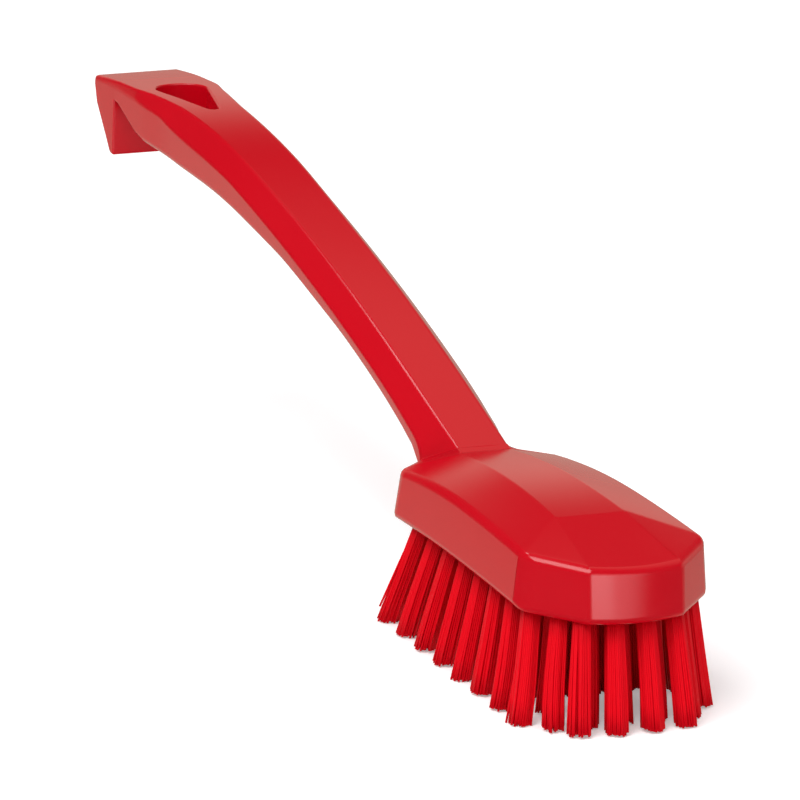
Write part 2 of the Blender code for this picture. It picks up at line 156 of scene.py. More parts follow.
def read_smoothly(knots, share):
    """Read a list of knots at any share, along a curve that passes through all of them."""
    share = min(max(share, knots[0][0]), knots[-1][0])
    index = next(index for index, knot in enumerate(knots[1:]) if share <= knot[0])
    start, low = knots[index]
    end, high = knots[index + 1]
    before = knots[max(index - 1, 0)]
    after = knots[min(index + 2, len(knots) - 1)]
    slope_in = (high - before[1]) / (end - before[0])
    slope_out = (after[1] - low) / (after[0] - start)
    run = end - start
    part = (share - start) / run
    return (mix(low, high, part * part * (3 - 2 * part))
            + slope_in * run * part * (1 - part) ** 2 - slope_out * run * part ** 2 * (1 - part))


def in_frame(back, y, height):
    """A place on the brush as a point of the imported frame."""
    return Vector((FRONT_LINE_X - back, y, BRISTLE_HEIGHT + height))


def crowned(back, crown, rear_back, rear, front_back, front):
    """Height on an arch that is highest at the crown and falls to one height at each end."""
    end_back, end = (rear_back, rear) if back > CROWN_BACK else (front_back, front)
    return crown - (crown - end) * ((back - CROWN_BACK) / (end_back - CROWN_BACK)) ** 2


def underside_height(back):
    return crowned(back, UNDERSIDE_CROWN_HEIGHT, REAR_CORNER_BACK, UNDERSIDE_REAR_HEIGHT,
                   CHAMFER_BACK, UNDERSIDE_SHOULDER_HEIGHT)


def top_line(back):
    """Height of the handle's top, along a straight stretch and two arcs."""
    run = back - CREASE_BACK
    height = CREASE_HEIGHT + min(run, STRAIGHT_RUN) * math.tan(HANDLE_SLOPE)
    run -= STRAIGHT_RUN
    sine = math.sin(HANDLE_SLOPE)
    for length, radius in ((LONG_RUN, LONG_RADIUS), (END_RUN, END_RADIUS)):
        next_sine = sine - min(max(run, 0.0), length) / radius
        height += radius * (math.sqrt(1 - next_sine ** 2) - math.sqrt(1 - sine ** 2))
        sine = next_sine
        run -= length
    return height


def handle_share(back):
    return (back - CREASE_BACK) / (FAR_END_BACK - CREASE_BACK)


def top_corner(back):
    share = read_smoothly(top_width_shares, handle_share(back))
    return back, mix(TOP_HALF_WIDTH, END_TOP_HALF_WIDTH, share), top_line(back)


def side_half_width(back):
    share = read_smoothly(side_width_shares, handle_share(back))
    return mix(HANDLE_HALF_WIDTH, END_HALF_WIDTH, share)


def bevel_corner(back):
    depth = BEVEL_DEPTH * read_smoothly(bevel_depth_shares, handle_share(back))
    return back, side_half_width(back), top_line(back) - depth


def hook_sections():
    """Half sections down the hook's outer face, round its lip and up to the roof behind it."""
    inner = END_HALF_WIDTH - LOWER_CHAMFER
    sections = []
    for thickness_share, drop_share, top_share in hook_outer_shares:
        low_back = FAR_END_BACK - thickness_share * HOOK_THICKNESS
        low = top_line(FAR_END_BACK) - drop_share * HOOK_DROP
        back = FAR_END_BACK - top_share * HOOK_THICKNESS
        sections.append(((low_back, inner, low), (low_back, END_HALF_WIDTH, low),
                         bevel_corner(back), top_corner(back)))
    face_back = FAR_END_BACK - HOOK_THICKNESS
    roof = top_line(face_back) - HOOK_ROOF_DEPTH
    for back in (face_back, face_back - HOOK_ROOF_RUN):
        sections.append(((back, inner, roof), (back, END_HALF_WIDTH, roof),
                         bevel_corner(back), top_corner(back)))
    return sections


def handle_sections():
    """Half sections from the mouth of the hook to the neck."""
    sections = []
    mouth = FAR_END_BACK - HOOK_THICKNESS - HOOK_MOUTH
    for index in range(HANDLE_STATIONS + 1):
        back = mix(mouth, NECK_BACK + NECK_RUN, index / HANDLE_STATIONS)
        half = side_half_width(back) - HANDLE_DRAFT
        foot = top_line(back) - GRIP_DEPTH * read_smoothly(side_depth_shares, handle_share(back))
        sections.append(((back, half - LOWER_CHAMFER, foot - LOWER_CHAMFER), (back, half, foot),
                         bevel_corner(back), top_corner(back)))
    return sections


def between(corner, other, part):
    return tuple(mix(here, there, part) for here, there in zip(corner, other))


def blend(section, following, part):
    """A half section part of the way from one to the next."""
    return [between(*corners, part) for corners in zip(section, following)]


def neck_sections(handle_end, block_rear):
    """The handle sweeps down to the rear wall, then its flanks flare out to the block's corners."""
    inner = HANDLE_HALF_WIDTH - LOWER_CHAMFER
    foot = top_line(NECK_BACK) - NECK_SIDE_DEPTH
    under = underside_height(NECK_BACK)
    shoulder = (NECK_BACK, HANDLE_HALF_WIDTH, top_line(NECK_BACK) - NECK_BEVEL_DEPTH)
    low_top = top_corner(mix(CREASE_BACK, NECK_BACK, NECK_TOP_SHARE))
    start = handle_end[SHOULDER]
    turn = (NECK_BACK, HANDLE_HALF_WIDTH, start[-1] - (start[0] - NECK_BACK) * math.tan(HANDLE_SLOPE))
    on_wall = [(NECK_BACK, inner, foot - LOWER_CHAMFER), (NECK_BACK, HANDLE_HALF_WIDTH, foot),
               shoulder, low_top]
    sections = []
    for index in range(1, NECK_STATIONS + 1):
        part = index / NECK_STATIONS
        section = blend(handle_end, on_wall, part)
        section[SHOULDER] = between(between(start, turn, part), between(turn, shoulder, part), part)
        sections.append(section)
    sections[-1] = on_wall
    wall_foot = [(NECK_BACK, inner, under), (NECK_BACK, HANDLE_HALF_WIDTH, under), shoulder, low_top]
    flare = [blend(wall_foot, block_rear, index / NECK_STATIONS) for index in range(1, NECK_STATIONS)]
    return sections, [wall_foot] + flare


def block_half_width(back):
    part = (back - CHAMFER_BACK) / (REAR_CORNER_BACK - CHAMFER_BACK)
    return mix(SHOULDER_HALF_WIDTH, REAR_HALF_WIDTH, part)


def block_sections():
    """Half sections from the block's rear corners to its front shoulders."""
    sections = []
    for index in range(BLOCK_STATIONS + 1):
        part = index / BLOCK_STATIONS
        back = mix(REAR_CORNER_BACK, CHAMFER_BACK, part)
        under = underside_height(back)
        rim = crowned(back, RIM_CROWN_HEIGHT, REAR_CORNER_BACK, RIM_REAR_HEIGHT,
                      CHAMFER_BACK, RIM_SHOULDER_HEIGHT)
        strip_back = mix(CREASE_BACK, STRIP_FRONT_BACK, part)
        strip = crowned(strip_back, STRIP_CROWN_HEIGHT, CREASE_BACK, CREASE_HEIGHT,
                        STRIP_FRONT_BACK, STRIP_FRONT_HEIGHT)
        half = block_half_width(back)
        sections.append(((back, HANDLE_HALF_WIDTH - LOWER_CHAMFER, under), (back, half, under),
                         (back - mix(REAR_DRAFT, 0.0, part), half - SIDE_DRAFT, rim),
                         (strip_back, mix(TOP_HALF_WIDTH, STRIP_FRONT_HALF_WIDTH, part), strip)))
    return sections


def front_edges():
    """The foot and the rim of the front wall, both bowed a little."""
    fall = (RIM_FRONT_HEIGHT - STRIP_FRONT_HEIGHT) / (STRIP_FRONT_BACK - FRONT_DRAFT)
    dip = (UNDERSIDE_FRONT_HEIGHT - UNDERSIDE_SHOULDER_HEIGHT) / CHAMFER_BACK
    foot = []
    rim = []
    for index in range(FRONT_STATIONS + 1):
        across = mix(1.0, -1.0, index / FRONT_STATIONS)
        reach = FRONT_BOW * (1 - across ** 2)
        height = STRIP_FRONT_HEIGHT + fall * (STRIP_FRONT_BACK - FRONT_DRAFT + reach)
        foot.append(in_frame(-reach, across * FRONT_HALF_WIDTH, UNDERSIDE_FRONT_HEIGHT + dip * reach))
        rim.append(in_frame(FRONT_DRAFT - reach, across * FRONT_HALF_WIDTH, height))
    return foot, rim


def moulding_skin():
    """One closed skin over all sections, and how far each edge is rounded."""
    skin = bmesh.new()
    rounds = {}
    block_rounds = {FOOT: FOOT_ROUND, FAR_FOOT: FOOT_ROUND, SHOULDER: RIM_ROUND, FAR_SHOULDER: RIM_ROUND,
                    TOP: CREASE_ROUND, FAR_TOP: CREASE_ROUND}
    hook = hook_sections()
    handle = handle_sections()
    block = block_sections()
    neck, flare = neck_sections(handle[-1], block[0])
    sides = hook + handle + neck + flare + block
    loops = []
    for side in sides:
        mirrored = [(back, -half, height) for back, half, height in reversed(side)]
        loop = [skin.verts.new(in_frame(*corner)) for corner in list(side) + mirrored]
        loops.append(loop)
    wall_at = len(hook) + len(handle) + len(neck) - 1
    for index in (SHOULDER, TOP, FAR_TOP, FAR_SHOULDER):
        skin.verts.remove(loops[wall_at + 1][index])
        loops[wall_at + 1][index] = loops[wall_at][index]
    block_at = wall_at + 1 + len(flare)
    for place, (loop, following) in enumerate(zip(loops, loops[1:])):
        for index in CORNERS:
            other = (index + 1) % len(CORNERS)
            corners = [loop[index], loop[other], following[other], following[index]]
            if place == wall_at and index not in (UNDERSIDE, FAR_FOOT, FAR_UNDERSIDE):
                continue
            if place == wall_at + 1 and index in (FOOT, FAR_SHOULDER):
                corners.insert(1, loops[wall_at][FOOT if index == FOOT else FAR_FOOT])
            skin.faces.new(corners)
            if place < wall_at and index not in (UNDERSIDE, FAR_UNDERSIDE):
                rounds[loop[index], following[index]] = EDGE_ROUND
            if place > wall_at and index in (FOOT, SHOULDER, FAR_SHOULDER, FAR_FOOT):
                rounds[loop[index], following[index]] = block_rounds[index]
            if place >= block_at and index in (TOP, FAR_TOP):
                rounds[loop[index], following[index]] = block_rounds[index]
    skin.faces.new(loops[0])
    for index in CORNERS:
        rounds[loops[0][index], loops[0][index - 1]] = EDGE_ROUND
    for lip in loops[len(hook_outer_shares) - 2:len(hook_outer_shares)]:
        for near, far in ((UNDERSIDE, FOOT), (UNDERSIDE, FAR_UNDERSIDE), (FAR_UNDERSIDE, FAR_FOOT)):
            rounds[lip[near], lip[far]] = EDGE_ROUND
    close_front(skin, loops[-1], rounds)
    rear = loops[block_at]
    rounds[rear[FOOT], rear[SHOULDER]] = CORNER_ROUND
    rounds[rear[FAR_FOOT], rear[FAR_SHOULDER]] = CORNER_ROUND
    return skin, rounds


def close_front(skin, shoulders, rounds):
    """The front wall, the facets over it and the block's underside there."""
    foot, rim = [[skin.verts.new(point) for point in edge] for edge in front_edges()]
    under, low, high, crease = shoulders[:FAR_TOP]
    far_crease, far_high, far_low, far_under = shoulders[FAR_TOP:]
    skin.faces.new((crease, high, rim[0]))
    skin.faces.new((far_crease, rim[-1], far_high))
    skin.faces.new([crease] + rim + [far_crease])
    skin.faces.new([under, low] + foot + [far_low, far_under])
    rims = [high] + rim + [far_high]
    feet = [low] + foot + [far_low]
    for index in range(len(rims) - 1):
        skin.faces.new((rims[index], feet[index], feet[index + 1], rims[index + 1]))
        rounds[rims[index], rims[index + 1]] = RIM_ROUND
        rounds[feet[index], feet[index + 1]] = FOOT_ROUND
    for near, far, reach in (
        (crease, far_crease, CREASE_ROUND),
        (crease, rim[0], CREASE_ROUND), (far_crease, rim[-1], CREASE_ROUND),
        (low, high, SHOULDER_ROUND), (far_low, far_high, SHOULDER_ROUND),
        (foot[0], rim[0], EDGE_ROUND), (foot[-1], rim[-1], EDGE_ROUND),
    ):
        rounds[near, far] = reach


# The hanging hole.
# A drop-shaped hole goes through the handle just before the hook, so that the brush can hang on a
# pin. Its upper lip is rounded over, as it is on the real moulding.

HOLE_REAR_CENTRE_BACK = 0.2523
HOLE_REAR_RADIUS = 0.00575
HOLE_FRONT_CENTRE_BACK = 0.2338
HOLE_FRONT_RADIUS = 0.0014
HOLE_LIP = 0.0004
HOLE_ARC_STATIONS = 32
LIP_STATIONS = 5
OVERRUN = 0.0020


def add_piece(name, mesh_data):
    """Close off a bmesh as an object of its own."""
    bmesh.ops.recalc_face_normals(mesh_data, faces=mesh_data.faces)
    mesh = bpy.data.meshes.new(name)
    mesh_data.to_mesh(mesh)
    mesh_data.free()
    piece = bpy.data.objects.new(name, mesh)
    bpy.context.collection.objects.link(piece)
    return piece


def tube(mesh_data, rings):
    """Skin a closed tube over rings of points."""
    loops = [[mesh_data.verts.new(point) for point in ring] for ring in rings]
    for loop, following in zip(loops, loops[1:]):
        for index, vert in enumerate(loop):
            other = (index + 1) % len(loop)
            mesh_data.faces.new((vert, loop[other], following[other], following[index]))
    mesh_data.faces.new(loops[0])
    mesh_data.faces.new(loops[-1])


def hanging_hole_cutter():
    """A drop-shaped plug that follows the handle's top line, and widens at the lip."""
    length = HOLE_REAR_CENTRE_BACK - HOLE_FRONT_CENTRE_BACK
    spread = math.acos((HOLE_REAR_RADIUS - HOLE_FRONT_RADIUS) / length)
    outline = []
    for centre_back, radius, first, last in (
        (HOLE_REAR_CENTRE_BACK, HOLE_REAR_RADIUS, spread, math.tau - spread),
        (HOLE_FRONT_CENTRE_BACK, HOLE_FRONT_RADIUS, -spread, spread),
    ):
        for station in range(HOLE_ARC_STATIONS + 1):
            angle = mix(first, last, station / HOLE_ARC_STATIONS)
            outward = Vector((-math.cos(angle), math.sin(angle)))
            outline.append((Vector((centre_back, 0.0)) + outward * radius, outward))
    profile = [(-OVERRUN, HOLE_LIP + OVERRUN)]
    for station in range(LIP_STATIONS + 1):
        angle = math.pi / 2 * station / LIP_STATIONS
        profile.append((HOLE_LIP * (1 - math.cos(angle)), HOLE_LIP * (1 - math.sin(angle))))
    profile.append((GRIP_DEPTH + LOWER_CHAMFER + OVERRUN, 0.0))
    rings = []
    for depth, growth in profile:
        ring = []
        for point, outward in outline:
            back, y = point + outward * growth
            ring.append(in_frame(back, y, top_line(back) - depth))
        rings.append(ring)
    mesh_data = bmesh.new()
    tube(mesh_data, rings)
    return add_piece("hanging_hole_cutter", mesh_data)


# The tuft holes.
# The underside is drilled with slanted blind holes, one for each tuft, so that the tufts spread
# towards their tips along and across the block.

COLUMN_PITCH = 0.0069
COLUMNS = 4
ROWS = 8
SIDE_ROW_BACK = 0.0138
SIDE_ROW_PITCH = 0.0085
SIDE_ROW_WALL = 0.0040
INNER_ROW_BACK = 0.0177
INNER_ROW_PITCH = 0.0087
SECOND_ROW_BACK = 0.0093
SECOND_ROW_PITCH = 0.0066
SECOND_ROW_TUFTS = 5
FRONT_ROW_BACK = 0.0039
FRONT_CORNER_BACK = 0.0048
FRONT_CORNER_Y = 0.0102
SPREAD_CENTRE_BACK = 0.0490
SPREAD_ALONG_SHARE = 1.224
SPREAD_ACROSS_SHARE = 1.16
TIPS_ASIDE = -0.0024
TUFT_RADIUS = 0.00205
HOLE_CLEARANCE = 0.0003
HOLE_DEPTH = 0.0050
HOLE_SIDES = 20


def flat_ring(sides):
    """Unit arms from the middle of a level ring to its corners."""
    angles = [math.tau * side / sides for side in range(sides)]
    return [Vector((math.cos(angle), math.sin(angle), 0.0)) for angle in angles]


def tuft_roots():
    """Back and y of each tuft where it leaves the block, from the front row to the rear."""
    roots = []
    for side in (1, -1):
        roots.append((FRONT_ROW_BACK, side * COLUMN_PITCH / 2))
        roots.append((FRONT_CORNER_BACK, side * FRONT_CORNER_Y))
    for index in range(SECOND_ROW_TUFTS):
        roots.append((SECOND_ROW_BACK, (index - (SECOND_ROW_TUFTS - 1) / 2) * SECOND_ROW_PITCH))
    for row in range(ROWS):
        side_back = SIDE_ROW_BACK + row * SIDE_ROW_PITCH
        inner_back = INNER_ROW_BACK + row * INNER_ROW_PITCH
        for side in (1, -1):
            roots.append((side_back, side * (block_half_width(side_back) - SIDE_ROW_WALL)))
        for column in range(COLUMNS):
            roots.append((inner_back, (column - (COLUMNS - 1) / 2) * COLUMN_PITCH))
    for side in (1, -1):
        roots.append((INNER_ROW_BACK + ROWS * INNER_ROW_PITCH, side * COLUMN_PITCH / 2))
    return roots


def tuft_line(back, y):
    """A tuft's root at the mouth of its hole, and its tip on the floor, set a little to one side."""
    tip_back = mix(SPREAD_CENTRE_BACK, back, SPREAD_ALONG_SHARE)
    tip_y = SPREAD_ACROSS_SHARE * y + TIPS_ASIDE
    return in_frame(back, y, 0.0), in_frame(tip_back, tip_y, -BRISTLE_HEIGHT)


def tuft_hole_cutter():
    """All the slanted drills at once, each in line with its tuft."""
    mesh_data = bmesh.new()
    for back, y in tuft_roots():
        root, tip = tuft_line(back, y)
        lean = (root - tip) / BRISTLE_HEIGHT
        rings = []
        for height in (-OVERRUN, HOLE_DEPTH):
            middle = root + lean * height
            rings.append([middle + arm * (TUFT_RADIUS + HOLE_CLEARANCE) for arm in flat_ring(HOLE_SIDES)])
        tube(mesh_data, rings)
    return add_piece("tuft_hole_cutter", mesh_data)


# The moulding, rounded and cut.
# Every edge gets the round that the mould has there, and then the hanging hole and the tuft holes
# are cut. The flats stay flat right up to the rounds.

ROUND_SEGMENTS = 4
SMOOTH_LIMIT = math.radians(28)
FLAT_WEIGHT = 100


def finish_moulding():
    skin, rounds = moulding_skin()
    weights = skin.edges.layers.float.new("bevel_weight_edge")
    for ends, reach in rounds.items():
        skin.edges.get(ends)[weights] = reach / SHOULDER_ROUND
    rough = add_piece("rough_moulding", skin)
    rounding = rough.modifiers.new("rounding", "BEVEL")
    rounding.limit_method = "WEIGHT"
    rounding.width = SHOULDER_ROUND
    rounding.segments = ROUND_SEGMENTS
    rounding.use_clamp_overlap = False
    cutters = [hanging_hole_cutter(), tuft_hole_cutter()]
    for cutter in cutters:
        cut = rough.modifiers.new(cutter.name, "BOOLEAN")
        cut.operation = "DIFFERENCE"
        cut.object = cutter
    shaped = rough.evaluated_get(bpy.context.evaluated_depsgraph_get())
    mesh = bpy.data.meshes.new_from_object(shaped)
    mesh.name = "moulding"
    mesh.materials.clear()
    for item in [rough] + cutters:
        bpy.data.objects.remove(item, do_unlink=True)
    for polygon in mesh.polygons:
        polygon.use_smooth = True
    mesh.set_sharp_from_angle(angle=SMOOTH_LIMIT)
    piece = bpy.data.objects.new("moulding", mesh)
    bpy.context.collection.objects.link(piece)
    facets = piece.modifiers.new("flat_facets", "WEIGHTED_NORMAL")
    facets.keep_sharp = True
    facets.weight = FLAT_WEIGHT
    return piece


moulding = finish_moulding()

# The moulding: its finish.
# Polypropylene dyed through, with the soft gloss of a polished mould. It has faint sink and flow marks,
# a very fine skin, slightly rubbed edges that a painted sheen lightens further, and a few small nicks from
# use.

MOULDED_RED = (0.570, 0.0008, 0.0090, 1.0)
RUBBED_AND_SHEEN_RED = (0.720, 0.055, 0.060, 1.0)
MOULDED_ROUGHNESS = 0.20
ROUGHNESS_SWING = 0.10
POLYPROPYLENE_IOR = 1.49
FLOW_SIZE = 0.030
FLOW_DEPTH = 0.00006
FLOW_DETAIL = 2.0
FLOW_STRETCH_SHARES = (0.5, 1.0, 1.0)
SKIN_SIZE = 0.0006
SKIN_DEPTH = 0.0000015
SKIN_DETAIL = 4.0
# The edge mask lightens the red along the rounds, partly as rubbed wear and partly as a painted sheen.
WEAR_AND_SHEEN_WIDTH = 0.0006
WEAR_AND_SHEEN_SAMPLES = 6
WEAR_AND_SHEEN_SHARE = 0.35
FLAT_COSINE = 0.995
WORN_AND_SHEEN_COSINE = 0.93
BREAK_SIZE = 0.0090
BREAK_DETAIL = 3.0
BREAK_FROM_SHARE = 0.42
BREAK_TO_SHARE = 0.62
LEAST_WEAR_AND_SHEEN_SHARE = 0.25
NICK_SPACING = 0.0090
NICK_RIM_SHARE = 0.035
NICK_CORE_SHARE = 0.015
UNNICKED_SHARE = 0.72
NOISE_MIDDLE = 0.5
PER_METRE = 1.0


def new_group(name, inputs, outputs):
    """A shader node group with named sockets, each given as name, kind and starting value."""
    group = bpy.data.node_groups.new(name, "ShaderNodeTree")
    for in_out, sockets in (("INPUT", inputs), ("OUTPUT", outputs)):
        for socket_name, kind, *value in sockets:
            socket_type = "NodeSocket" + kind
            socket = group.interface.new_socket(name=socket_name, in_out=in_out, socket_type=socket_type)
            if value:
                socket.default_value = value[0]
    return group, group.nodes.new("NodeGroupInput"), group.nodes.new("NodeGroupOutput")


def add_node(tree, kind, links=None, **settings):
    """A node with its settings, whose sockets in links are fed by a value or by another socket."""
    node = tree.nodes.new("ShaderNode" + kind)
    for setting, value in settings.items():
        setattr(node, setting, value)
    for socket, source in (links or {}).items():
        if isinstance(source, bpy.types.NodeSocket):
            tree.links.new(source, node.inputs[socket])
        else:
            node.inputs[socket].default_value = source
    return node


def surface_noise(tree, place, size, detail, stretch_shares=(1.0, 1.0, 1.0)):
    """Noise whose marks are about one size across, in metres, on the object's own coordinates."""
    scaled = add_node(tree, "Mapping", {"Vector": place, "Scale": stretch_shares})
    noise = add_node(tree, "TexNoise", {"Vector": scaled.outputs["Vector"], "Detail": detail})
    rate = add_node(tree, "Math", {0: PER_METRE, 1: size}, operation="DIVIDE")
    tree.links.new(rate.outputs["Value"], noise.inputs["Scale"])
    return noise.outputs["Fac"]


def make_mould_skin():
    """Fine skin, sink marks and a slow change of gloss, for anything out of a polished mould."""
    group, given, result = new_group(
        "mould_skin",
        (("Flow Size", "Float", FLOW_SIZE), ("Flow Depth", "Float", FLOW_DEPTH),
         ("Skin Size", "Float", SKIN_SIZE), ("Skin Depth", "Float", SKIN_DEPTH),
         ("Gloss", "Float", MOULDED_ROUGHNESS), ("Gloss Swing", "Float", ROUGHNESS_SWING)),
        (("Roughness", "Float"), ("Normal", "Vector")))
    place = add_node(group, "TexCoord").outputs["Object"]
    flow = surface_noise(group, place, given.outputs["Flow Size"], FLOW_DETAIL, FLOW_STRETCH_SHARES)
    skin = surface_noise(group, place, given.outputs["Skin Size"], SKIN_DETAIL)
    swing = add_node(group, "Math", {0: flow, 1: NOISE_MIDDLE}, operation="SUBTRACT")
    gloss = add_node(group, "Math", {
        0: swing.outputs["Value"], 1: given.outputs["Gloss Swing"], 2: given.outputs["Gloss"]},
        operation="MULTIPLY_ADD")
    group.links.new(gloss.outputs["Value"], result.inputs["Roughness"])
    sunk = add_node(group, "Bump", {"Height": flow, "Distance": given.outputs["Flow Depth"]})
    fine = add_node(group, "Bump", {
        "Height": skin, "Distance": given.outputs["Skin Depth"], "Normal": sunk.outputs["Normal"]})
    group.links.new(fine.outputs["Normal"], result.inputs["Normal"])
    return group


def make_rubbed_and_sheen_edges():
    """A mask of the outer edges, broken up by noise, where handling has rubbed the surface and a painted
    sheen lightens it.
    """
    group, given, result = new_group(
        "rubbed_and_sheen_edges",
        (("Width", "Float", WEAR_AND_SHEEN_WIDTH), ("Break Size", "Float", BREAK_SIZE)),
        (("Mask", "Float"),))
    place = add_node(group, "TexCoord").outputs["Object"]
    rounded = add_node(group, "Bevel", {"Radius": given.outputs["Width"]}, samples=WEAR_AND_SHEEN_SAMPLES)
    flat = add_node(group, "NewGeometry")
    facing = add_node(group, "VectorMath", {
        0: rounded.outputs["Normal"], 1: flat.outputs["Normal"]}, operation="DOT_PRODUCT")
    edge = add_node(group, "MapRange", {
        "Value": facing.outputs["Value"], "From Min": FLAT_COSINE, "From Max": WORN_AND_SHEEN_COSINE})
    broken = surface_noise(group, place, given.outputs["Break Size"], BREAK_DETAIL)
    kept = add_node(group, "MapRange", {
        "Value": broken, "From Min": BREAK_FROM_SHARE, "From Max": BREAK_TO_SHARE,
        "To Min": LEAST_WEAR_AND_SHEEN_SHARE})
    mask = add_node(group, "Math", {0: edge.outputs["Result"], 1: kept.outputs["Result"]},
                    operation="MULTIPLY")
    group.links.new(mask.outputs["Value"], result.inputs["Mask"])
    return group


def make_nicks():
    """A mask of a few small marks, far apart, where something hard has struck the surface."""
    group, given, result = new_group(
        "nicks", (("Spacing", "Float", NICK_SPACING),), (("Mask", "Float"),))
    place = add_node(group, "TexCoord").outputs["Object"]
    rate = add_node(group, "Math", {0: PER_METRE, 1: given.outputs["Spacing"]}, operation="DIVIDE")
    cells = add_node(group, "TexVoronoi", {"Vector": place, "Scale": rate.outputs["Value"]}, feature="F1")
    near = add_node(group, "MapRange", {
        "Value": cells.outputs["Distance"], "From Min": NICK_RIM_SHARE, "From Max": NICK_CORE_SHARE})
    parts = add_node(group, "SeparateColor", {"Color": cells.outputs["Color"]})
    chosen = add_node(group, "Math", {0: parts.outputs["Red"], 1: UNNICKED_SHARE},
                      operation="GREATER_THAN")
    mask = add_node(group, "Math", {0: near.outputs["Result"], 1: chosen.outputs["Value"]},
                    operation="MULTIPLY")
    group.links.new(mask.outputs["Value"], result.inputs["Mask"])
    return group


def make_moulded_polypropylene():
    material = bpy.data.materials.new("moulded_polypropylene")
    material.use_nodes = True
    tree = material.node_tree
    shader = tree.nodes["Principled BSDF"]
    skin = add_node(tree, "Group", node_tree=make_mould_skin())
    rubbed_and_sheen = add_node(tree, "Group", node_tree=make_rubbed_and_sheen_edges())
    nicks = add_node(tree, "Group", node_tree=make_nicks())
    worn_and_sheen = add_node(tree, "Math", {0: rubbed_and_sheen.outputs["Mask"], 1: WEAR_AND_SHEEN_SHARE}, operation="MULTIPLY")
    marked = add_node(tree, "Math", {0: worn_and_sheen.outputs["Value"], 1: nicks.outputs["Mask"]},
                      operation="MAXIMUM")
    # Nicks lighten the red as real marks; along the edges the lighter red is rubbed wear plus a painted
    # sheen.
    colour = add_node(tree, "Mix", {"A": MOULDED_RED, "B": RUBBED_AND_SHEEN_RED}, data_type="RGBA")
    tree.links.new(marked.outputs["Value"], colour.inputs["Factor"])
    tree.links.new(colour.outputs["Result"], shader.inputs["Base Color"])
    tree.links.new(skin.outputs["Roughness"], shader.inputs["Roughness"])
    tree.links.new(skin.outputs["Normal"], shader.inputs["Normal"])
    shader.inputs["IOR"].default_value = POLYPROPYLENE_IOR
    return material


moulding.data.materials.append(make_moulded_polypropylene())
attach(moulding, "root")
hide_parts("brush_body")

# The tufts.
# Each tuft is a bundle of polyester filament folded over an anchor inside its hole. The filaments
# splay towards their trimmed tips, which differ a little in length, and a few stand away.

TIP_RADIUS = 0.0026
FILAMENT_RADIUS = 0.00024
FILAMENT_SPACING = 0.00036
FILAMENT_SIDES = 6
FILAMENT_SEGMENTS = 5
ROOT_DEPTH = 0.0012
TIP_WANDER = 0.00008
BUNDLE_BOW = 0.0005
FILAMENT_BOW = 0.00008
TRIM_UNEVEN = 0.0009
TUFT_UNEVEN = 0.0003
STRAY_SHARE = 0.035
STRAY_REACH = 0.0014
LEAST_REACH_SHARE = 0.3
STRAY_SHORT = 0.0045
SHADE_ATTRIBUTE = "filament_shade"
TUFT_SEED = 41


def packed_places(radius, spacing):
    """Places in a round bundle, packed in rows as filaments are, with their middle on zero."""
    rows = math.ceil(radius / spacing) + 1
    row_step = spacing * math.sqrt(3) / 2
    places = []
    for row in range(-rows, rows + 1):
        for column in range(-rows, rows + 1):
            place = Vector(((column + (row % 2) / 2) * spacing, row * row_step, 0.0))
            if place.length <= radius:
                places.append(place)
    return places


def filament_path(root, tip, place, chance, bow):
    """Points along one filament, from inside the hole to its trimmed tip."""
    outward = place / TUFT_RADIUS
    wander = Vector((chance.gauss(0, TIP_WANDER), chance.gauss(0, TIP_WANDER), 0.0))
    short = abs(chance.gauss(0, TRIM_UNEVEN / 2))
    if chance.random() < STRAY_SHARE:
        away = chance.uniform(0, math.tau)
        reach_share = chance.uniform(LEAST_REACH_SHARE, 1.0)
        wander += Vector((math.cos(away), math.sin(away), 0.0)) * reach_share * STRAY_REACH
        short = chance.choice((0.0, 0.0, chance.uniform(0.0, STRAY_SHORT)))
    lean = (root - tip) / BRISTLE_HEIGHT
    start = root + lean * ROOT_DEPTH + place
    end = tip + place * (TIP_RADIUS / TUFT_RADIUS) + wander
    end += lean * short
    kink = Vector((chance.gauss(0, 1), chance.gauss(0, 1), 0.0)) * FILAMENT_BOW / 2
    own_bow = bow + outward * FILAMENT_BOW + kink
    points = []
    for segment in range(FILAMENT_SEGMENTS + 1):
        part = segment / FILAMENT_SEGMENTS
        points.append(start.lerp(end, part) + own_bow * math.sin(math.pi * part) * part)
    return points


